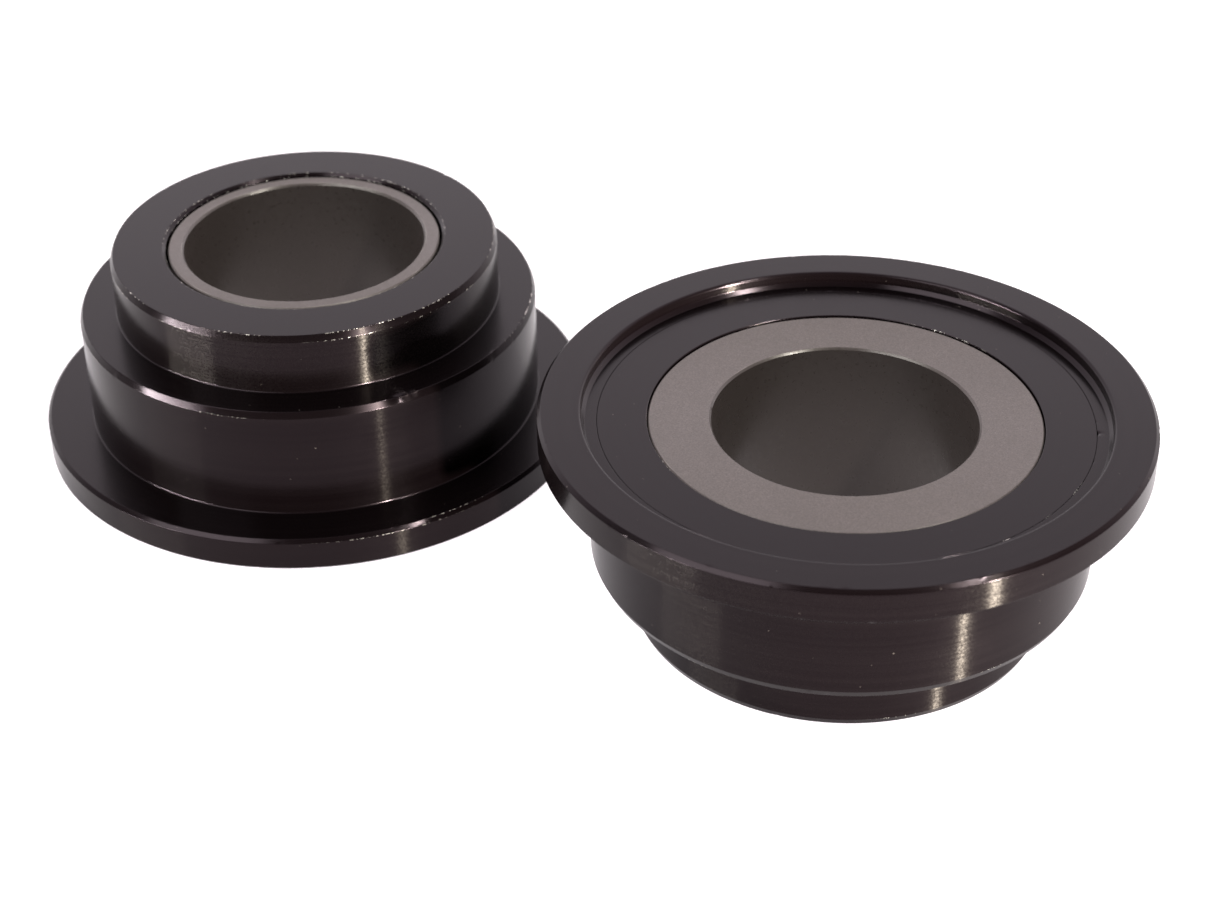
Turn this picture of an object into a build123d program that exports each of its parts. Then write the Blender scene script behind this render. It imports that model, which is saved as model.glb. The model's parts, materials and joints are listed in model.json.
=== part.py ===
"""Press-fit bottom bracket: a left and a right bearing unit, laid out side by side.

Each unit is a stepped cup with a flange, a dust cover in the flange's recess, a sealed ball
bearing in the body, and a flanged sleeve that turns with the crank spindle. The left unit
stands on its flange and the right unit stands on its nose.

Frame: +Z up, origin on the left unit's axis in the plane where its flange meets the frame
shell, +X from the left unit's axis to the right unit's axis. All sizes are in millimetres.
"""

import os

from build123d import *

os.makedirs("parts", exist_ok=True)

# ---------------------------------------------------------------- driving dimensions
# Interfaces
SHELL_BORE_DIAMETER = 46.0
SPINDLE_DIAMETER = 24.0

# Cup outside, from the outboard face to the end of the nose
FLANGE_DIAMETER = 55.3
FLANGE_THICKNESS = 3.45
BODY_LENGTH = 11.4
NOSE_DIAMETER = 38.6
NOSE_LENGTH = 6.15
FLANGE_EDGE_CHAMFER = 0.35
LEAD_IN_LENGTH = 0.65
LEAD_IN_DEPTH = 0.3
ROOT_FILLET = 0.15

# Cup inside
RECESS_DIAMETER = 47.4
RECESS_DEPTH = 1.3
RECESS_RIM_FILLET = 0.3
RECESS_FOOT_FILLET = 0.35
COVER_DIAMETER = 44.6
COVER_THICKNESS = 1.3
RELIEF_DIAMETER = 37.8
RELIEF_DEPTH = 0.5
NOSE_BORE_GAP = 0.27
NOSE_BORE_CHAMFER = 0.3

# Spindle sleeve
SLEEVE_FLANGE_DIAMETER = 35.4
SLEEVE_FLANGE_THICKNESS = 1.2
SLEEVE_FACE_DROP = 0.12
SLEEVE_LAND_DIAMETER = 32.8
SLEEVE_NOSE_DIAMETER = 27.06
SLEEVE_END_DROP = 0.25
SLEEVE_BORE_CHAMFER = 0.2
SLEEVE_EDGE_CHAMFER = 0.12
SLEEVE_SHOULDER_PROUD = 0.2

# Dust cover
COVER_RUNNING_GAP = 0.1
COVER_LIP_WIDTH = 0.7
COVER_LIP_LENGTH = 0.25
COVER_EDGE_CHAMFER = 0.05

# Sealed deep-groove bearing, 30 x 42 x 7
BEARING_BORE = 30.0
BEARING_OUTSIDE = 42.0
BEARING_WIDTH = 7.0
BEARING_START = 3.0
BALL_DIAMETER = 3.572
BALL_COUNT = 18
GROOVE_CONFORMITY = 0.52
BALL_RADIAL_PLAY = 0.02
INNER_SHOULDER_DIAMETER = 33.9
OUTER_SHOULDER_DIAMETER = 38.1
RACE_EDGE_CHAMFER = 0.3
SEAL_SEAT_DIAMETER = 39.9
SEAL_SEAT_DEPTH = 0.8
SEAL_THICKNESS = 0.55
SEAL_BORE = 33.2
SEAL_LAND_DIAMETER = 32.8
SEAL_LAND_LENGTH = 0.9
SEAL_BEAD_HEIGHT = 0.15
SEAL_BEAD_WIDTH = 0.5
CAGE_BORE = 34.7
CAGE_OUTSIDE = 37.3
CAGE_BACK = 2.3
CAGE_FRONT = 1.2
POCKET_CLEARANCE = 0.12

# Layout of the pair
AXIS_DISTANCE = 60.7

# ---------------------------------------------------------------- derived dimensions
OVERALL_LENGTH = FLANGE_THICKNESS + BODY_LENGTH + NOSE_LENGTH
BODY_END = FLANGE_THICKNESS + BODY_LENGTH
COVER_BACK = RECESS_DEPTH + COVER_THICKNESS
BEARING_END = BEARING_START + BEARING_WIDTH
BEARING_MIDDLE = BEARING_START + BEARING_WIDTH / 2
RELIEF_END = BEARING_END + RELIEF_DEPTH

FLANGE_RADIUS = FLANGE_DIAMETER / 2
BODY_RADIUS = SHELL_BORE_DIAMETER / 2
NOSE_RADIUS = NOSE_DIAMETER / 2
RECESS_RADIUS = RECESS_DIAMETER / 2
COVER_RADIUS = COVER_DIAMETER / 2
SEAT_RADIUS = BEARING_OUTSIDE / 2
RELIEF_RADIUS = RELIEF_DIAMETER / 2
BORE_RADIUS = SPINDLE_DIAMETER / 2
SLEEVE_NOSE_RADIUS = SLEEVE_NOSE_DIAMETER / 2
NOSE_BORE_RADIUS = SLEEVE_NOSE_RADIUS + NOSE_BORE_GAP
SLEEVE_FLANGE_RADIUS = SLEEVE_FLANGE_DIAMETER / 2
SLEEVE_LAND_RADIUS = SLEEVE_LAND_DIAMETER / 2
SLEEVE_FACE = RECESS_DEPTH + SLEEVE_FACE_DROP
SLEEVE_FLANGE_BACK = SLEEVE_FACE + SLEEVE_FLANGE_THICKNESS
SLEEVE_SHOULDER = BEARING_END + SLEEVE_SHOULDER_PROUD
SLEEVE_END = OVERALL_LENGTH - SLEEVE_END_DROP
COVER_BORE_RADIUS = SLEEVE_FLANGE_RADIUS + COVER_RUNNING_GAP
COVER_LIP_RADIUS = COVER_BORE_RADIUS + COVER_LIP_WIDTH
COVER_LIP_END = COVER_BACK + COVER_LIP_LENGTH

RACE_BORE_RADIUS = BEARING_BORE / 2
INNER_SHOULDER_RADIUS = INNER_SHOULDER_DIAMETER / 2
OUTER_SHOULDER_RADIUS = OUTER_SHOULDER_DIAMETER / 2
SEAL_SEAT_RADIUS = SEAL_SEAT_DIAMETER / 2
SEAL_LAND_RADIUS = SEAL_LAND_DIAMETER / 2
HALF_WIDTH = BEARING_WIDTH / 2
BALL_RADIUS = BALL_DIAMETER / 2
PITCH_RADIUS = (RACE_BORE_RADIUS + SEAT_RADIUS) / 2
GROOVE_RADIUS = GROOVE_CONFORMITY * BALL_DIAMETER
GROOVE_SHIFT = GROOVE_RADIUS - BALL_RADIUS - BALL_RADIAL_PLAY

# Each unit's own plane: origin at the middle of its outboard face, +Z towards its nose
UNITS = {
    "left": Plane(origin=(0, 0, -FLANGE_THICKNESS), x_dir=(1, 0, 0), z_dir=(0, 0, 1)),
    "right": Plane(
        origin=(AXIS_DISTANCE, 0, OVERALL_LENGTH - FLANGE_THICKNESS),
        x_dir=(1, 0, 0),
        z_dir=(0, 0, -1),
    ),
}


def section_of(unit):
    """The half-section plane of a unit: X is the radius, Y is the depth from its outboard face."""
    return Plane(origin=unit.origin, x_dir=unit.x_dir, z_dir=-unit.y_dir)


def spin_axis(unit):
    return Axis(unit.origin, unit.z_dir)


def rims(builder, unit, radius):
    """Circular edges of this radius, from the outboard end to the nose end."""
    circles = builder.edges().filter_by(GeomType.CIRCLE)
    return circles.filter_by(lambda e: abs(e.radius - radius) < 0.001).sort_by(spin_axis(unit))


def finish(builder, node):
    builder.part.label = node
    export_step(builder.part, f"parts/{node}.step")


for side, unit in UNITS.items():
    section = section_of(unit)
    axis = spin_axis(unit)

    # Cup: one turned piece with the flange, the press-fit body and the nose. Inside it, from
    # the outboard face: recess, cover seat, bearing seat, running relief, nose bore.
    with BuildPart() as cup:
        with BuildSketch(section):
            with BuildLine():
                Polyline(
                    (RECESS_RADIUS, 0),
                    (FLANGE_RADIUS, 0),
                    (FLANGE_RADIUS, FLANGE_THICKNESS),
                    (BODY_RADIUS, FLANGE_THICKNESS),
                    (BODY_RADIUS, BODY_END - LEAD_IN_LENGTH),
                    (BODY_RADIUS - LEAD_IN_DEPTH, BODY_END),
                    (NOSE_RADIUS, BODY_END),
                    (NOSE_RADIUS, OVERALL_LENGTH - LEAD_IN_LENGTH),
                    (NOSE_RADIUS - LEAD_IN_DEPTH, OVERALL_LENGTH),
                    (NOSE_BORE_RADIUS, OVERALL_LENGTH),
                    (NOSE_BORE_RADIUS, RELIEF_END),
                    (RELIEF_RADIUS, RELIEF_END),
                    (RELIEF_RADIUS, BEARING_END),
                    (SEAT_RADIUS, BEARING_END),
                    (SEAT_RADIUS, COVER_BACK),
                    (COVER_RADIUS, COVER_BACK),
                    (COVER_RADIUS, RECESS_DEPTH),
                    (RECESS_RADIUS, RECESS_DEPTH),
                    close=True,
                )
            make_face()
        revolve(axis=axis)
        chamfer(rims(cup, unit, FLANGE_RADIUS), length=FLANGE_EDGE_CHAMFER)
        fillet(rims(cup, unit, RECESS_RADIUS).last, radius=RECESS_FOOT_FILLET)
        fillet(rims(cup, unit, RECESS_RADIUS).first, radius=RECESS_RIM_FILLET)
        chamfer(rims(cup, unit, NOSE_BORE_RADIUS).last, length=NOSE_BORE_CHAMFER)
        fillet(rims(cup, unit, BODY_RADIUS).first, radius=ROOT_FILLET)
        fillet(rims(cup, unit, NOSE_RADIUS).first, radius=ROOT_FILLET)
    finish(cup, f"{side}_cup")

    # Dust cover: a ring pressed in flush with the recess's floor, over the bearing, with a lip
    # round the sleeve's flange
    with BuildPart() as dust_cover:
        with BuildSketch(section):
            with BuildLine():
                Polyline(
                    (COVER_BORE_RADIUS, RECESS_DEPTH),
                    (COVER_RADIUS, RECESS_DEPTH),
                    (COVER_RADIUS, COVER_BACK),
                    (COVER_LIP_RADIUS, COVER_BACK),
                    (COVER_LIP_RADIUS, COVER_LIP_END),
                    (COVER_BORE_RADIUS, COVER_LIP_END),
                    close=True,
                )
            make_face()
        revolve(axis=axis)
        chamfer(rims(dust_cover, unit, COVER_RADIUS).first, length=COVER_EDGE_CHAMFER)
        chamfer(rims(dust_cover, unit, COVER_BORE_RADIUS).first, length=COVER_EDGE_CHAMFER)
    finish(dust_cover, f"{side}_dust_cover")

    # Spindle sleeve: a flanged bush through the bearing's bore, out to the end of the nose
    with BuildPart() as spindle_sleeve:
        with BuildSketch(section):
            with BuildLine():
                Polyline(
                    (BORE_RADIUS, SLEEVE_FACE),
                    (SLEEVE_FLANGE_RADIUS, SLEEVE_FACE),
                    (SLEEVE_FLANGE_RADIUS, SLEEVE_FLANGE_BACK),
                    (SLEEVE_LAND_RADIUS, SLEEVE_FLANGE_BACK),
                    (SLEEVE_LAND_RADIUS, BEARING_START),
                    (RACE_BORE_RADIUS, BEARING_START),
                    (RACE_BORE_RADIUS, SLEEVE_SHOULDER),
                    (SLEEVE_NOSE_RADIUS, SLEEVE_SHOULDER),
                    (SLEEVE_NOSE_RADIUS, SLEEVE_END),
                    (BORE_RADIUS, SLEEVE_END),
                    close=True,
                )
            make_face()
        revolve(axis=axis)
        chamfer(rims(spindle_sleeve, unit, BORE_RADIUS), length=SLEEVE_BORE_CHAMFER)
        chamfer(rims(spindle_sleeve, unit, SLEEVE_FLANGE_RADIUS).first, length=SLEEVE_EDGE_CHAMFER)
        chamfer(rims(spindle_sleeve, unit, SLEEVE_NOSE_RADIUS).last, length=SLEEVE_EDGE_CHAMFER)
    finish(spindle_sleeve, f"{side}_spindle_sleeve")

    # Bearing outer race: ball groove in the middle, a step at each end that seats a seal
    with BuildPart() as outer_race:
        with BuildSketch(section):
            with BuildLine():
                Polyline(
                    (SEAL_SEAT_RADIUS, BEARING_START),
                    (SEAT_RADIUS, BEARING_START),
                    (SEAT_RADIUS, BEARING_END),
                    (SEAL_SEAT_RADIUS, BEARING_END),
                    (SEAL_SEAT_RADIUS, BEARING_END - SEAL_SEAT_DEPTH),
                    (OUTER_SHOULDER_RADIUS, BEARING_END - SEAL_SEAT_DEPTH),
                    (OUTER_SHOULDER_RADIUS, BEARING_START + SEAL_SEAT_DEPTH),
                    (SEAL_SEAT_RADIUS, BEARING_START + SEAL_SEAT_DEPTH),
                    close=True,
                )
            make_face()
            with Locations((PITCH_RADIUS - GROOVE_SHIFT, BEARING_MIDDLE)):
                Circle(GROOVE_RADIUS, mode=Mode.SUBTRACT)
        revolve(axis=axis)
        chamfer(rims(outer_race, unit, SEAT_RADIUS), length=RACE_EDGE_CHAMFER)
    finish(outer_race, f"{side}_bearing_outer_race")

    # Bearing inner race: ball groove in the middle, a lower land at each end under a seal's lip
    with BuildPart() as inner_race:
        with BuildSketch(section):
            with BuildLine():
                Polyline(
                    (RACE_BORE_RADIUS, BEARING_START),
                    (SEAL_LAND_RADIUS, BEARING_START),
                    (SEAL_LAND_RADIUS, BEARING_START + SEAL_LAND_LENGTH),
                    (INNER_SHOULDER_RADIUS, BEARING_START + SEAL_LAND_LENGTH),
                    (INNER_SHOULDER_RADIUS, BEARING_END - SEAL_LAND_LENGTH),
                    (SEAL_LAND_RADIUS, BEARING_END - SEAL_LAND_LENGTH),
                    (SEAL_LAND_RADIUS, BEARING_END),
                    (RACE_BORE_RADIUS, BEARING_END),
                    close=True,
                )
            make_face()
            with Locations((PITCH_RADIUS + GROOVE_SHIFT, BEARING_MIDDLE)):
                Circle(GROOVE_RADIUS, mode=Mode.SUBTRACT)
        revolve(axis=axis)
        chamfer(rims(inner_race, unit, RACE_BORE_RADIUS), length=RACE_EDGE_CHAMFER)
    finish(inner_race, f"{side}_bearing_inner_race")

    # Balls and cage are built about the bearing's middle plane
    bearing_plane = unit.offset(BEARING_MIDDLE)
    with BuildPart(bearing_plane) as balls:
        with PolarLocations(PITCH_RADIUS, BALL_COUNT):
            Sphere(BALL_RADIUS)
    finish(balls, f"{side}_bearing_balls")

    # Snap cage: its open side is past the balls' middle, so that each ball clips into its pocket
    with BuildPart(bearing_plane) as cage:
        with BuildSketch(bearing_plane.offset(-CAGE_BACK)):
            Circle(CAGE_OUTSIDE / 2)
            Circle(CAGE_BORE / 2, mode=Mode.SUBTRACT)
        extrude(amount=CAGE_BACK + CAGE_FRONT)
        with PolarLocations(PITCH_RADIUS, BALL_COUNT):
            Sphere(BALL_RADIUS + POCKET_CLEARANCE, mode=Mode.SUBTRACT)
    finish(cage, f"{side}_bearing_cage")

    # Seals: a flat ring with a bead round its outside, mirrored about the bearing's middle
    for place, face_of_seat, outwards in (
        ("outboard", BEARING_START + SEAL_SEAT_DEPTH, -1),
        ("inboard", BEARING_END - SEAL_SEAT_DEPTH, 1),
    ):
        ring_face = face_of_seat + outwards * SEAL_THICKNESS
        bead_face = ring_face + outwards * SEAL_BEAD_HEIGHT
        with BuildPart() as seal:
            with BuildSketch(section):
                with BuildLine():
                    Polyline(
                        (SEAL_BORE / 2, face_of_seat),
                        (SEAL_SEAT_RADIUS, face_of_seat),
                        (SEAL_SEAT_RADIUS, bead_face),
                        (SEAL_SEAT_RADIUS - SEAL_BEAD_WIDTH, bead_face),
                        (SEAL_SEAT_RADIUS - SEAL_BEAD_WIDTH, ring_face),
                        (SEAL_BORE / 2, ring_face),
                        close=True,
                    )
                make_face()
            revolve(axis=axis)
        finish(seal, f"{side}_{place}_seal")
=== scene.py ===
"""Looks for a press-fit bottom bracket pair: black anodised turned cups and dust covers, matte
grey spindle sleeves, and the bearings inside them.

The visible turned pieces are new high-resolution meshes. Each one takes its section from the
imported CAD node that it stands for, gets its corners broken as a lathe hand would break them,
and carries small handling marks along its edges. A section is a closed outline of
(radius, height) points in metres, with heights in the row's own frame.
"""

import json
import math
import random

import bpy
import numpy as np
from mathutils import Matrix, Vector


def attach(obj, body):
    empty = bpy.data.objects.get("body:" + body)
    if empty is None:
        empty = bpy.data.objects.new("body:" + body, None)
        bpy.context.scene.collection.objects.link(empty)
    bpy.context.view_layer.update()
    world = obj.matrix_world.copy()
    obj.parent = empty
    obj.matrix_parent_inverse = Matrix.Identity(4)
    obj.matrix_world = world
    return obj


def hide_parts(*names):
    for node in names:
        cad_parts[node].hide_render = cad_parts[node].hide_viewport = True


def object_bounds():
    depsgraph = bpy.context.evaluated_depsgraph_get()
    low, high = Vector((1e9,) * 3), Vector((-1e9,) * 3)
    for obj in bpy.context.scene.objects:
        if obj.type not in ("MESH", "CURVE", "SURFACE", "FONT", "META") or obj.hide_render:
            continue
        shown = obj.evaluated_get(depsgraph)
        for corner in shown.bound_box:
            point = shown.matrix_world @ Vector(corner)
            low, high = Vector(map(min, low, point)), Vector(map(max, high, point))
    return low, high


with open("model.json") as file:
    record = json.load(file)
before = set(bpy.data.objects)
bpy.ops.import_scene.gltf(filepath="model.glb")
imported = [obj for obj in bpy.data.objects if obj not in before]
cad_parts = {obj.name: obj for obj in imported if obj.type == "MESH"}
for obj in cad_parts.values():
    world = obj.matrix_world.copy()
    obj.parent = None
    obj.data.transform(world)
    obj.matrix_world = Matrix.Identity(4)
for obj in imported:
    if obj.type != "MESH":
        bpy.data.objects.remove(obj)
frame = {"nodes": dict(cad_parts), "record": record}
cad_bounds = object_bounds()

MM = 0.001
SIDES = ("left", "right")
MIDDLE = (Vector(cad_bounds[0]) + Vector(cad_bounds[1])) / 2
MOUNTS = {mount["name"]: mount for mount in frame["record"]["mounts"]}
BORE_MM = MOUNTS["left_spindle_bore"]["dims"]["r_mm"]
# the way the camera looks: its heading about +Z, how far down it looks, and its roll
VIEW_HEADING = math.radians(122.0)
VIEW_PITCH = math.radians(34.0)
VIEW_ROLL = math.radians(-0.73)


def heading(from_camera_deg):
    """The angle about +Z of a heading, where 0 degrees points straight towards the camera."""
    return VIEW_HEADING + math.pi + math.radians(from_camera_deg)


# ------------------------------------------------------------------ sections from the CAD
# CAD points whose radius and height are this near to each other, in metres, are one corner
WELD = 2e-6


def unit_axis(side):
    """A point on a unit's axis, from its spindle bore mount."""
    return Vector(MOUNTS[f"{side}_spindle_bore"]["pos_m"])


def section_corners(mesh, axis):
    """The corners of a turned mesh's section, and which corner each mesh point lies on."""
    points = np.array([v.co for v in mesh.vertices], float)
    radius = np.hypot(points[:, 0] - axis.x, points[:, 1] - axis.y)
    cells = [tuple(c) for c in np.round(np.stack([radius, points[:, 2]], 1) / WELD).astype(int)]
    corners, corner_of = [], {}
    for cell in cells:
        if cell in corner_of:
            continue
        beside = [(cell[0] + i, cell[1] + j) for i in (-1, 0, 1) for j in (-1, 0, 1)]
        known = [corner_of[c] for c in beside if c in corner_of]
        corner_of[cell] = known[0] if known else len(corners)
        if not known:
            corners.append((cell[0] * WELD, cell[1] * WELD))
    return corners, [corner_of[cell] for cell in cells]


def joined_corners(mesh, corner_at, count):
    """For each corner, the corners that the mesh's edges join it to."""
    joined = [set() for _ in range(count)]
    for edge in mesh.edges:
        one, other = (corner_at[vertex] for vertex in edge.vertices)
        if one != other:
            joined[one].add(other)
            joined[other].add(one)
    return joined


def walked_round(joined):
    """The corners in the order that they come in round the section."""
    order, here, came_from = [], 0, None
    while here is not None and (not order or here != order[0]):
        order.append(here)
        onward = sorted(n for n in joined[here] if n != came_from and n not in order[1:])
        came_from, here = here, onward[0] if onward else None
    return order


def cad_section(node, axis):
    """The closed (radius, height) outline of a turned CAD node, anticlockwise."""
    mesh = frame["nodes"][node].data
    corners, corner_at = section_corners(mesh, axis)
    outline = [corners[i] for i in walked_round(joined_corners(mesh, corner_at, len(corners)))]
    twice_area = sum(
        a[0] * b[1] - b[0] * a[1] for a, b in zip(outline, outline[1:] + outline[:1])
    )
    return outline if twice_area > 0 else outline[::-1]


def broken_corners(outline, radius, arc_steps=4, sharp=math.radians(22), most=0.42):
    """The outline with each sharp corner turned into a small arc.

    An arc takes up at most the given share of the stretch on each side of it. Each point comes
    with 1 on an outward corner's arc, -1 on an inward corner's and 0 elsewhere.
    """
    points = [Vector(p) for p in outline]
    soft = []
    for i, corner in enumerate(points):
        before, after = points[i - 1] - corner, points[(i + 1) % len(points)] - corner
        turn = math.pi - before.angle(after)
        if turn < sharp:
            soft.append((corner, 0.0))
            continue
        cut = min(radius * math.tan(turn / 2), most * before.length, most * after.length)
        start, end = corner + before.normalized() * cut, corner + after.normalized() * cut
        kind = 1.0 if (before.x * after.y - before.y * after.x) < 0 else -1.0
        for step in range(arc_steps + 1):
            t = step / arc_steps
            soft.append((start * (1 - t) ** 2 + corner * (2 * t * (1 - t)) + end * t**2, kind))
    return soft


def graded(section, steps_mm=(0.02, 0.06, 0.14, 0.3, 0.6), shortest_mm=0.1, longest_mm=1.6):
    """More points on each straight stretch, close together beside its ends."""
    out = []
    for (start, kind), (end, _) in zip(section, section[1:] + section[:1]):
        out.append((start, kind))
        length = (end - start).length
        if length < shortest_mm * MM:
            continue
        near = [s * MM for s in steps_mm if s * MM < 0.45 * length]
        first = near[-1] if near else 0.0
        count = max(0, int((length - 2 * first) / (longest_mm * MM)))
        middle = [first + (length - 2 * first) * (i + 1) / (count + 1) for i in range(count)]
        for along in near + middle + [length - s for s in reversed(near)]:
            out.append((start.lerp(end, along / length), 0.0))
    return out


# ------------------------------------------------------------------ marks from handling
def around_the_axis(segments):
    return np.linspace(0, 2 * math.pi, segments, endpoint=False)


def bell(angles, middle, half_width):
    """1 at the middle angle, falling to 0 on both sides of it."""
    off = (angles - middle + math.pi) % (2 * math.pi) - math.pi
    return np.exp(-((off / half_width) ** 2))


def outward_runs(section):
    """The rows of each outward corner's arc."""
    runs, run = [], []
    for row, (_, kind) in enumerate(section):
        if kind > 0:
            run.append(row)
        elif run:
            runs.append(run)
            run = []
    return runs


def outward_corners(section):
    """The middle of each outward corner's arc, and the unit direction from it into the metal."""
    corners = []
    for rows in outward_runs(section):
        points = [section[row][0] for row in rows]
        middle, chord = points[len(points) // 2], (points[0] + points[-1]) / 2
        corners.append((middle, (chord - middle).normalized()))
    return corners


def handling_wear(section, segments, rng, stretches):
    """How worn each point is, from 0 to 1: rubbed stretches along the outward corners."""
    angles = around_the_axis(segments)
    wear = np.zeros((len(section), segments))
    for rows in outward_runs(section):
        radius_mm = section[rows[0]][0].x / MM
        for _ in range(round(np.interp(radius_mm, STEP_RADII_MM, stretches))):
            middle, half_width = rng.uniform(0, 2 * math.pi), rng.uniform(0.02, 0.16)
            wear[rows] += rng.uniform(0.3, 1.0) * bell(angles, middle, half_width)
    return np.clip(wear, 0, 1)


def nick(corner, inward, angle, width_mm, reach_mm, depth_mm):
    """A dent whose middle is on a corner."""
    return {
        "angle": angle,
        "radius": corner.x,
        "height": corner.y,
        "width": width_mm * MM,
        "reach": reach_mm * MM,
        "push": inward * depth_mm * MM,
    }


def struck(section, radius_mm, height_mm, heading_deg, **size):
    """One larger nick in the outward corner nearest to a place on the section."""
    place = Vector((radius_mm, height_mm)) * MM
    corner, inward = min(outward_corners(section), key=lambda c: (c[0] - place).length)
    return nick(corner, inward, heading(heading_deg), **size)


def scattered_nicks(section, rng, per_mm):
    """Tiny nicks along the outward corners, the deeper ones reaching further."""
    marks = []
    for corner, inward in outward_corners(section):
        for _ in range(int(2 * math.pi * corner.x / MM * per_mm)):
            angle, width = rng.uniform(0, 2 * math.pi), rng.uniform(0.08, 0.35)
            depth = rng.uniform(0.008, 0.03)
            marks.append(nick(corner, inward, angle, width, 0.05 + 2 * depth, depth))
    return marks


# ------------------------------------------------------------------ turned meshes
def nicked_rings(section, angles, marks):
    """The radius and height of every point, a row for each section point."""
    radius = np.array([p.x for p, _ in section])
    height = np.array([p.y for p, _ in section])
    ring_r = np.repeat(radius[:, None], len(angles), 1)
    ring_z = np.repeat(height[:, None], len(angles), 1)
    for mark in marks:
        along = bell(angles, mark["angle"], mark["width"] / mark["radius"])
        off = np.hypot(radius - mark["radius"], height - mark["height"])
        fall = np.exp(-((off / mark["reach"]) ** 2))[:, None] * along[None, :]
        ring_r += fall * mark["push"].x
        ring_z += fall * mark["push"].y
    return ring_r, ring_z


def turned(name, section, axis, segments, marks):
    """A closed mesh turned about a vertical axis, nicked by the marks."""
    rows, angles = len(section), around_the_axis(segments)
    ring_r, ring_z = nicked_rings(section, angles, marks)
    x, y = ring_r * np.cos(angles)[None, :], ring_r * np.sin(angles)[None, :]
    vertices = np.stack([x, y, ring_z], -1).reshape(-1, 3)
    row, col = np.meshgrid(np.arange(rows), np.arange(segments), indexing="ij")
    next_row, next_col = (row + 1) % rows, (col + 1) % segments
    corners = ((row, col), (row, next_col), (next_row, next_col), (next_row, col))
    quads = np.stack([r * segments + c for r, c in corners], -1).reshape(-1, 4)
    mesh = bpy.data.meshes.new(name)
    mesh.from_pydata(vertices.tolist(), [], quads.tolist())
    mesh.polygons.foreach_set("use_smooth", np.ones(len(quads), bool))
    mesh.update()
    piece = bpy.data.objects.new(name, mesh)
    bpy.context.scene.collection.objects.link(piece)
    piece.location = (axis.x, axis.y, 0)
    return piece


def note(piece, name, values):
    """Stores one number per point for the materials to read."""
    layer = piece.data.attributes.new(name, "FLOAT", "POINT")
    layer.data.foreach_set("value", values.astype(np.float32).reshape(-1))


# ------------------------------------------------------------------ shader building blocks
def new_material(name):
    """A material, its nodes and links, and its surface shader."""
    material = bpy.data.materials.new(name)
    material.use_nodes = True
    nodes = material.node_tree.nodes
    return material, nodes, material.node_tree.links, nodes["Principled BSDF"]


def add(nodes, kind, **settings):
    """A shader node with its properties and, for names that are inputs, its input values."""
    node = nodes.new(kind)
    for key, value in settings.items():
        if key in node.inputs:
            node.inputs[key].default_value = value
        else:
            setattr(node, key, value)
    return node


def maths(nodes, links, operation, one, other=0.0, clamp=False):
    """The result of one sum, where each side is a number or another node's output."""
    node = add(nodes, "ShaderNodeMath", operation=operation, use_clamp=clamp)
    for socket, value in zip(node.inputs, (one, other)):
        if isinstance(value, (int, float)):
            socket.default_value = value
        else:
            links.new(value, socket)
    return node.outputs[0]


def spread(nodes, links, value, low, high, out_low=0.0, out_high=1.0):
    """value from low..high to out_low..out_high, held at the ends."""
    node = add(nodes, "ShaderNodeMapRange", clamp=True)
    links.new(value, node.inputs["Value"])
    for key, number in (
        ("From Min", low), ("From Max", high), ("To Min", out_low), ("To Max", out_high)
    ):
        node.inputs[key].default_value = number
    return node.outputs["Result"]


def blended(nodes, links, share, one, other):
    """Colour one where share is 0 and colour other where it is 1."""
    mix = add(nodes, "ShaderNodeMix", data_type="RGBA")
    links.new(share, mix.inputs["Factor"])
    for socket, colour in ((mix.inputs[6], one), (mix.inputs[7], other)):
        if isinstance(colour, tuple):
            socket.default_value = (*colour, 1.0)
        else:
            links.new(colour, socket)
    return mix.outputs[2]


def radius_and_height(nodes, links):
    """The distance from the unit's axis and the height, in millimetres, and the object position."""
    place = nodes.new("ShaderNodeTexCoord").outputs["Object"]
    split = nodes.new("ShaderNodeSeparateXYZ")
    links.new(place, split.inputs[0])
    flat = nodes.new("ShaderNodeCombineXYZ")
    links.new(split.outputs["X"], flat.inputs["X"])
    links.new(split.outputs["Y"], flat.inputs["Y"])
    length = add(nodes, "ShaderNodeVectorMath", operation="LENGTH")
    links.new(flat.outputs[0], length.inputs[0])
    radius = maths(nodes, links, "MULTIPLY", length.outputs["Value"], 1 / MM)
    height = maths(nodes, links, "MULTIPLY", split.outputs["Z"], 1 / MM)
    return radius, height, place


def turning_marks(nodes, links, radius, height, pitch_mm):
    """Fine grooves that run round the axis: noise that changes with radius and height only."""
    across = nodes.new("ShaderNodeCombineXYZ")
    links.new(radius, across.inputs["X"])
    links.new(height, across.inputs["Y"])
    noise = add(nodes, "ShaderNodeTexNoise", Scale=1.0 / pitch_mm, Detail=3.0, Roughness=0.6)
    links.new(across.outputs[0], noise.inputs["Vector"])
    return noise.outputs["Fac"]


def noise_at(nodes, links, place, size_mm, detail=3.0, roughness=0.55):
    """Noise from 0 to 1, with patches of about the given size."""
    scale = 1.0 / (size_mm * MM)
    noise = add(nodes, "ShaderNodeTexNoise", Scale=scale, Detail=detail, Roughness=roughness)
    links.new(place, noise.inputs["Vector"])
    return noise.outputs["Fac"]


def noted(nodes, name):
    """The number that note() stored on the mesh."""
    return add(nodes, "ShaderNodeAttribute", attribute_name=name).outputs["Fac"]


def bump(nodes, links, height, distance_mm, strength, after=None):
    """The surface direction over a relief, which may lie on top of another one."""
    node = add(nodes, "ShaderNodeBump", Distance=distance_mm * MM, Strength=strength)
    links.new(height, node.inputs["Height"])
    if after is not None:
        links.new(after, node.inputs["Normal"])
    return node.outputs["Normal"]


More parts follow.
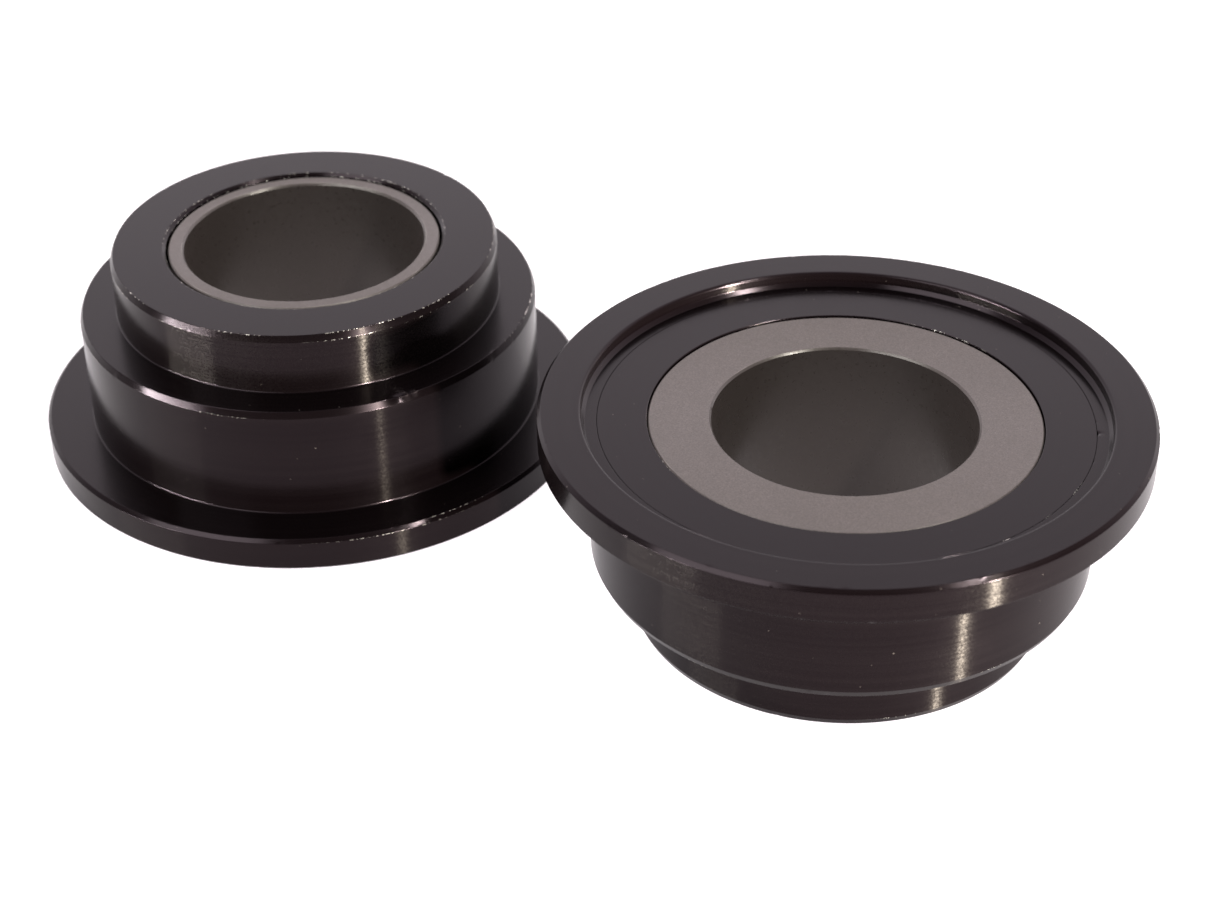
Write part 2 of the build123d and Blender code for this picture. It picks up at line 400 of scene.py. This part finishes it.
def stretched_highlights(nodes, links, surface, amount):
    """Draws highlights out across the turning marks, and gives the direction round the axis."""
    surface.inputs["Anisotropic"].default_value = amount
    surface.inputs["Anisotropic Rotation"].default_value = 0.25
    tangent = add(nodes, "ShaderNodeTangent", direction_type="RADIAL", axis="Z").outputs[0]
    links.new(tangent, surface.inputs["Tangent"])
    return tangent


def show_both(nodes, links, one, other):
    """Makes the sum of two shaders the material's surface."""
    both = nodes.new("ShaderNodeAddShader")
    links.new(one.outputs[0], both.inputs[0])
    links.new(other.outputs[0], both.inputs[1])
    links.new(both.outputs[0], nodes["Material Output"].inputs["Surface"])


# ------------------------------------------------------------------ materials
def bare_metal(nodes, links, place):
    """Where the black film is rubbed through: the noted wear, broken up by fine scuffs."""
    scuffs = noise_at(nodes, links, place, size_mm=0.45, roughness=0.7)
    broken = spread(nodes, links, scuffs, 0.55, 0.59)
    return maths(nodes, links, "MULTIPLY", noted(nodes, "edge"), broken, clamp=True)


def film_colour(nodes, links, place, bands, wear):
    """Near-black in faint bands, with specks of dust, and light metal where it is worn."""
    specks = noise_at(nodes, links, place, size_mm=0.35, detail=1.0)
    dust = maths(nodes, links, "MULTIPLY", spread(nodes, links, specks, 0.80, 0.83), 0.5)
    bare = maths(nodes, links, "MULTIPLY", wear, 0.8)
    tone = spread(nodes, links, bands, 0.3, 0.7)
    film = blended(nodes, links, tone, (0.0009, 0.0005, 0.0006), (0.0014, 0.0009, 0.0010))
    film = blended(nodes, links, dust, film, (0.07, 0.06, 0.055))
    return blended(nodes, links, bare, film, (0.60, 0.57, 0.53))


def film_roughness(nodes, links, place, bands, wear):
    """Glossy, a little duller in smudges, and much duller where it is worn."""
    smudge = noise_at(nodes, links, place, size_mm=5.0)
    rough = spread(nodes, links, bands, 0.3, 0.7, out_low=0.17, out_high=0.20)
    smudged = spread(nodes, links, smudge, 0.35, 0.7, out_low=-0.01, out_high=0.03)
    rough = maths(nodes, links, "ADD", rough, smudged)
    return maths(nodes, links, "ADD", rough, maths(nodes, links, "MULTIPLY", wear, 0.25))


def groove_scatter(nodes, links, radius, height, grain, tangent):
    """Fine grooves on the side walls, which scatter a lamp's light into a sparkling streak."""
    facing = nodes.new("ShaderNodeSeparateXYZ")
    links.new(nodes.new("ShaderNodeTexCoord").outputs["Normal"], facing.inputs[0])
    level = maths(nodes, links, "ABSOLUTE", facing.outputs["Z"])
    walls = spread(nodes, links, level, 0.15, 0.75, out_low=1.0, out_high=0.0)
    grooves = turning_marks(nodes, links, radius, height, pitch_mm=0.22)
    lines = spread(nodes, links, grooves, 0.35, 0.65, out_low=0.5, out_high=1.0)
    grains = spread(nodes, links, grain, 0.38, 0.68, out_low=0.3, out_high=1.0)
    sparkle = maths(nodes, links, "MULTIPLY", grains, lines)
    share = maths(nodes, links, "MULTIPLY", walls, sparkle)
    share = maths(nodes, links, "MULTIPLY", share, noted(nodes, "streak"))
    colour = blended(nodes, links, share, (0.0, 0.0, 0.0), (0.0090, 0.0080, 0.0072))
    scatter = add(nodes, "ShaderNodeBsdfAnisotropic", Roughness=0.28, Anisotropy=0.80)
    links.new(colour, scatter.inputs["Color"])
    links.new(tangent, scatter.inputs["Tangent"])
    return scatter


def black_anodised(name):
    """Turned aluminium, anodised black: glossy, with faint bands, smudges, dust and worn edges."""
    material, nodes, links, surface = new_material(name)
    radius, height, place = radius_and_height(nodes, links)
    bands = turning_marks(nodes, links, radius, height, pitch_mm=0.6)
    grain = noise_at(nodes, links, place, size_mm=0.20, detail=2.0)
    wear = bare_metal(nodes, links, place)
    links.new(film_colour(nodes, links, place, bands, wear), surface.inputs["Base Color"])
    links.new(maths(nodes, links, "MULTIPLY", wear, 0.9), surface.inputs["Metallic"])
    links.new(film_roughness(nodes, links, place, bands, wear), surface.inputs["Roughness"])
    surface.inputs["IOR"].default_value = 1.22
    surface.inputs["Specular Tint"].default_value = (1.0, 0.79, 0.90, 1.0)
    relief = bump(nodes, links, grain, distance_mm=0.0003, strength=0.5)
    links.new(relief, surface.inputs["Normal"])
    tangent = stretched_highlights(nodes, links, surface, 0.6)
    scatter = groove_scatter(nodes, links, radius, height, grain, tangent)
    show_both(nodes, links, surface, scatter)
    return material


def sleeve_colour(nodes, links, fine, coarse, cloud, reamed_shaded_bore):
    """Speckled warm grey, plainer in the bore and darkened there with painted shade, and lighter
    where an edge is rubbed.
    """
    speckle = spread(nodes, links, fine, 0.34, 0.66)
    colour = blended(nodes, links, speckle, (0.035, 0.028, 0.026), (0.082, 0.065, 0.062))
    patches = spread(nodes, links, coarse, 0.35, 0.75, out_high=0.4)
    colour = blended(nodes, links, patches, colour, (0.073, 0.060, 0.056))
    stains = spread(nodes, links, cloud, 0.35, 0.7, out_high=0.25)
    colour = blended(nodes, links, stains, colour, (0.043, 0.035, 0.032))
    # painted shade: the bore's wall is darkened towards (0.044, 0.035, 0.032), which stands in for
    # the shade inside the bore
    bore_shade = maths(nodes, links, "MULTIPLY", reamed_shaded_bore, 0.92)
    colour = blended(nodes, links, bore_shade, colour, (0.044, 0.035, 0.032))
    rubbed = maths(nodes, links, "MULTIPLY", noted(nodes, "edge"), 0.6)
    return blended(nodes, links, rubbed, colour, (0.20, 0.18, 0.165))


def blasted_grey(name):
    """Matte warm grey metal with a fine blasted grain, and a smoother bore, finished with a reamer,
    that painted shade darkens.
    """
    material, nodes, links, surface = new_material(name)
    radius, height, place = radius_and_height(nodes, links)
    fine = noise_at(nodes, links, place, size_mm=0.16, roughness=0.7)
    coarse = noise_at(nodes, links, place, size_mm=0.5)
    cloud = noise_at(nodes, links, place, size_mm=5.0)
    lathe = turning_marks(nodes, links, radius, height, pitch_mm=0.35)
    # 1 on the bore's wall: smoother there from reaming, and the colour there carries painted shade
    reamed_shaded_bore = spread(nodes, links, radius, BORE_MM + 0.05, BORE_MM + 0.3, out_low=1.0, out_high=0.0)

    colour = sleeve_colour(nodes, links, fine, coarse, cloud, reamed_shaded_bore)
    links.new(colour, surface.inputs["Base Color"])
    surface.inputs["Metallic"].default_value = 0.35
    blasted = spread(nodes, links, coarse, 0.3, 0.7, out_low=0.44, out_high=0.56)
    smoother = maths(nodes, links, "MULTIPLY", reamed_shaded_bore, -0.18)
    links.new(maths(nodes, links, "ADD", blasted, smoother), surface.inputs["Roughness"])
    stretched_highlights(nodes, links, surface, 0.5)
    left_in_bore = spread(nodes, links, reamed_shaded_bore, 0.0, 1.0, out_low=1.0, out_high=0.08)
    grit = maths(nodes, links, "MULTIPLY", fine, left_in_bore)
    relief = bump(nodes, links, grit, distance_mm=0.012, strength=0.6)
    relief = bump(nodes, links, lathe, distance_mm=0.003, strength=0.4, after=relief)
    links.new(relief, surface.inputs["Normal"])
    return material


def bearing_steel(name, roughness, groove_mm):
    """Ground or polished bearing steel with fine grinding lines."""
    material, nodes, links, surface = new_material(name)
    radius, height, place = radius_and_height(nodes, links)
    lines = turning_marks(nodes, links, radius, height, groove_mm)
    haze = noise_at(nodes, links, place, size_mm=3.0)
    tone = spread(nodes, links, haze, 0.3, 0.7)
    colour = blended(nodes, links, tone, (0.53, 0.53, 0.54), (0.63, 0.63, 0.62))
    links.new(colour, surface.inputs["Base Color"])
    surface.inputs["Metallic"].default_value = 1.0
    rough = spread(nodes, links, haze, 0.3, 0.7, out_low=roughness, out_high=1.5 * roughness)
    links.new(rough, surface.inputs["Roughness"])
    relief = bump(nodes, links, lines, distance_mm=0.001, strength=0.6)
    links.new(relief, surface.inputs["Normal"])
    return material


def moulded(name, dark, light, roughness, grain_mm, subsurface=0.0):
    """Moulded plastic or rubber: a slightly mottled colour with a fine matte texture."""
    material, nodes, links, surface = new_material(name)
    place = nodes.new("ShaderNodeTexCoord").outputs["Object"]
    texture = noise_at(nodes, links, place, grain_mm)
    mottle = noise_at(nodes, links, place, size_mm=2.5)
    colour = blended(nodes, links, spread(nodes, links, mottle, 0.3, 0.7), dark, light)
    links.new(colour, surface.inputs["Base Color"])
    low, high = roughness - 0.07, roughness + 0.07
    rough = spread(nodes, links, texture, 0.3, 0.7, out_low=low, out_high=high)
    links.new(rough, surface.inputs["Roughness"])
    surface.inputs["Subsurface Weight"].default_value = subsurface
    surface.inputs["Subsurface Scale"].default_value = 0.5 * MM
    relief = bump(nodes, links, texture, distance_mm=0.01, strength=0.5)
    links.new(relief, surface.inputs["Normal"])
    return material


NYLON = {
    "dark": (0.50, 0.46, 0.33), "light": (0.60, 0.56, 0.43),
    "roughness": 0.45, "grain_mm": 0.2, "subsurface": 0.3,
}
RUBBER = {
    "dark": (0.012, 0.012, 0.012), "light": (0.022, 0.022, 0.023),
    "roughness": 0.62, "grain_mm": 0.15,
}
MATERIALS = {
    "black_anodised": black_anodised("black_anodised"),
    "black_cover": black_anodised("black_cover"),
    "grey_sleeve": blasted_grey("grey_sleeve"),
    "race_steel": bearing_steel("race_steel", roughness=0.16, groove_mm=0.05),
    "ball_steel": bearing_steel("ball_steel", roughness=0.05, groove_mm=0.4),
    "cage_plastic": moulded("cage_plastic", **NYLON),
    "seal_rubber": moulded("seal_rubber", **RUBBER),
}


# ------------------------------------------------------------------ pieces
TURNED = {
    "cup": {"corner_mm": 0.06, "segments": 1440, "nicks_per_mm": 0.10},
    "dust_cover": {"corner_mm": 0.02, "segments": 960, "nicks_per_mm": 0.0},
    "spindle_sleeve": {"corner_mm": 0.05, "segments": 900, "nicks_per_mm": 0.06},
}
# the marks that show best: a dent in two parts on the left body's shoulder, and a nick in the
# edge round the right unit's dust cover
STRUCK = {
    "left_cup": [
        {"radius_mm": 22.85, "height_mm": 11.2, "heading_deg": 27.5,
         "width_mm": 0.9, "reach_mm": 0.5, "depth_mm": 0.22},
        {"radius_mm": 22.85, "height_mm": 11.2, "heading_deg": 31.0,
         "width_mm": 0.35, "reach_mm": 0.3, "depth_mm": 0.08},
    ],
    "right_cup": [
        {"radius_mm": 22.3, "height_mm": 16.25, "heading_deg": 82.0,
         "width_mm": 0.25, "reach_mm": 0.25, "depth_mm": 0.12},
    ],
}
# how many worn stretches each corner has, and how strongly the walls scatter a lamp, at each of
# these radii: up to the first is the nose, the middle two span the body, the last is the flange
STEP_RADII_MM = (20.0, 22.5, 23.5, 26.0)
WORN_STRETCHES = {"left": (26, 8, 8, 2), "right": (2, 2, 2, 0)}
STREAKS = {"left": (1.15, 0.15, 0.15, 0.25), "right": (0.55, 0.6, 0.6, 0.95)}
SLOT_OF = {part["node"]: part["material_slot"] for part in frame["record"]["subparts"]}
BODY_OF = {n: b for b, nodes in frame["record"]["behaviour"]["bodies"].items() for n in nodes}
BLACK_PIECES = {side: [] for side in SIDES}


def dress(piece, node):
    """Gives a piece its node's material and slot."""
    slot = SLOT_OF[node]
    piece.data.materials.clear()
    piece.data.materials.append(MATERIALS[slot])


def turned_piece(side, kind, seed):
    """Makes the mesh that stands for one turned CAD node."""
    node, shape, rng = f"{side}_{kind}", TURNED[kind], random.Random(seed)
    axis, segments = unit_axis(side), shape["segments"]
    section = graded(broken_corners(cad_section(node, axis), shape["corner_mm"] * MM))
    marks = scattered_nicks(section, rng, shape["nicks_per_mm"])
    marks += [struck(section, **mark) for mark in STRUCK.get(node, [])]
    piece = turned(f"{node}_turned", section, axis, segments, marks)
    note(piece, "edge", handling_wear(section, segments, rng, WORN_STRETCHES[side]))
    radii_mm = [point.x / MM for point, _ in section]
    note(piece, "streak", np.repeat(np.interp(radii_mm, STEP_RADII_MM, STREAKS[side]), segments))
    dress(piece, node)
    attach(piece, BODY_OF[node])
    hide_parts(node)
    if SLOT_OF[node].startswith("black"):
        BLACK_PIECES[side].append(piece)


for first_seed, side in zip((11, 21), SIDES):
    for seed, kind in enumerate(TURNED, start=first_seed):
        turned_piece(side, kind, seed)

for node, cad_object in frame["nodes"].items():
    if node.split("_", 1)[1] not in TURNED:
        dress(cad_object, node)


# ------------------------------------------------------------------ floor, light and camera
CAMERA_DISTANCE = 238.7 * MM
AIM_OFFSET = Vector((5.0, 0.2, -3.8)) * MM
LENS_MM = 72.8
F_STOP = 45.0
NEAREST_SEEN = 5 * MM
LIGHT_DISTANCE = 0.9
FLOOR_SIZE = 4.0
PALE = (1.0, 0.935, 0.975, 1.0)
# how bright the floor, the room and the backdrop are as light sources, and as the camera sees them
FLOOR_GLOW = 0.72
SEEN_GLOW = 1.1
ROOM_GLOW = 0.22
BACKDROP_GLOW = 2.2
SEEN_BACKDROP_GLOW = 2.0


def direction(heading_deg, height_deg):
    """The way to a light from the object, by its heading from the camera and its height."""
    around, height = heading(heading_deg), math.radians(height_deg)
    flat = math.cos(height)
    return Vector((math.cos(around) * flat, math.sin(around) * flat, math.sin(height)))


def make_floor():
    """A pale light table: evenly lit from below, so the object stands on clean white."""
    bpy.ops.mesh.primitive_grid_add(x_subdivisions=8, y_subdivisions=8, size=FLOOR_SIZE)
    floor = bpy.context.object
    floor.name = "floor"
    floor.location.z = cad_bounds[0][2]
    material, nodes, links, surface = new_material("pale_floor")
    surface.inputs["Base Color"].default_value = (0.30, 0.29, 0.295, 1.0)
    surface.inputs["Roughness"].default_value = 0.8
    surface.inputs["Specular IOR Level"].default_value = 0.1
    glow = add(nodes, "ShaderNodeEmission", Color=PALE)
    seen = nodes.new("ShaderNodeLightPath").outputs["Is Camera Ray"]
    strength = spread(nodes, links, seen, 0.0, 1.0, out_low=FLOOR_GLOW, out_high=SEEN_GLOW)
    links.new(strength, glow.inputs["Strength"])
    show_both(nodes, links, surface, glow)
    floor.data.materials.append(material)


def make_world():
    """A white backdrop behind the object, and a dim room above it and on the camera's side."""
    world = bpy.data.worlds.new("studio")
    bpy.context.scene.world = world
    world.use_nodes = True
    nodes, links = world.node_tree.nodes, world.node_tree.links
    way = nodes.new("ShaderNodeTexCoord").outputs["Generated"]
    behind = add(nodes, "ShaderNodeVectorMath", operation="DOT_PRODUCT")
    links.new(way, behind.inputs[0])
    behind.inputs[1].default_value = direction(180, 20)
    backdrop = spread(nodes, links, behind.outputs["Value"], 0.10, 0.60, ROOM_GLOW, BACKDROP_GLOW)
    seen = nodes.new("ShaderNodeLightPath").outputs["Is Camera Ray"]
    white = maths(nodes, links, "MULTIPLY", seen, SEEN_BACKDROP_GLOW)
    links.new(maths(nodes, links, "MAXIMUM", backdrop, white), nodes["Background"].inputs["Strength"])
    nodes["Background"].inputs["Color"].default_value = PALE


def make_light(name, heading_deg, height_deg, wide, tall, watts, colour):
    """A rectangular lamp that faces the middle of the object."""
    data = bpy.data.lights.new(name, "AREA")
    data.shape, data.size, data.size_y = "RECTANGLE", wide, tall
    data.energy, data.color = watts, colour
    light = bpy.data.objects.new(name, data)
    bpy.context.scene.collection.objects.link(light)
    away = direction(heading_deg, height_deg)
    light.location = MIDDLE + away * LIGHT_DISTANCE
    light.rotation_euler = away.to_track_quat("Z", "Y").to_euler()
    return light


def light_only(light, pieces):
    """Keeps a lamp to some pieces, as a small reflector held close to them would."""
    lit = bpy.data.collections.new(f"{light.name}_lights")
    for piece in pieces:
        lit.objects.link(piece)
    light.light_linking.receiver_collection = lit


def make_lights():
    """Two lamps for everything, and three low ones for the side walls of the black pieces."""
    make_light("softbox_left", -55, 47, wide=0.55, tall=0.55, watts=8.5, colour=(0.97, 1.0, 0.97))
    make_light("lamp_right", 53, 50, wide=0.07, tall=0.07, watts=8.0, colour=(1.0, 1.0, 0.90))
    band = make_light(
        "band_left", -65, 3, wide=0.45, tall=0.04, watts=24.0, colour=(1.0, 0.99, 0.97)
    )
    light_only(band, BLACK_PIECES["left"] + BLACK_PIECES["right"])
    for side, heading_deg, watts in (("left", 34, 46.0), ("right", 46, 100.0)):
        streak = make_light(
            f"streak_{side}", heading_deg, 3, wide=0.03, tall=0.03,
            watts=watts, colour=(1.0, 0.95, 0.85),
        )
        light_only(streak, BLACK_PIECES[side])


def make_camera():
    """A camera at the view's angle, aimed a little off the middle and focused on the right unit."""
    flat, down = math.cos(VIEW_PITCH), math.sin(VIEW_PITCH)
    forward = Vector((math.cos(VIEW_HEADING) * flat, math.sin(VIEW_HEADING) * flat, -down))
    data = bpy.data.cameras.new("camera")
    data.lens = LENS_MM
    data.clip_start = NEAREST_SEEN
    data.dof.use_dof = True
    data.dof.aperture_fstop = F_STOP
    camera = bpy.data.objects.new("camera", data)
    bpy.context.scene.collection.objects.link(camera)
    turn = forward.to_track_quat("-Z", "Y").to_matrix() @ Matrix.Rotation(VIEW_ROLL, 3, "Z")
    place = MIDDLE + AIM_OFFSET - forward * CAMERA_DISTANCE
    camera.matrix_world = Matrix.Translation(place) @ turn.to_4x4()
    focus = bpy.data.objects.new("focus", None)
    bpy.context.scene.collection.objects.link(focus)
    focus.location = unit_axis("right")
    data.dof.focus_object = focus
    bpy.context.scene.camera = camera


make_floor()
make_world()
make_lights()
make_camera()
bpy.context.scene.view_settings.view_transform = "Standard"
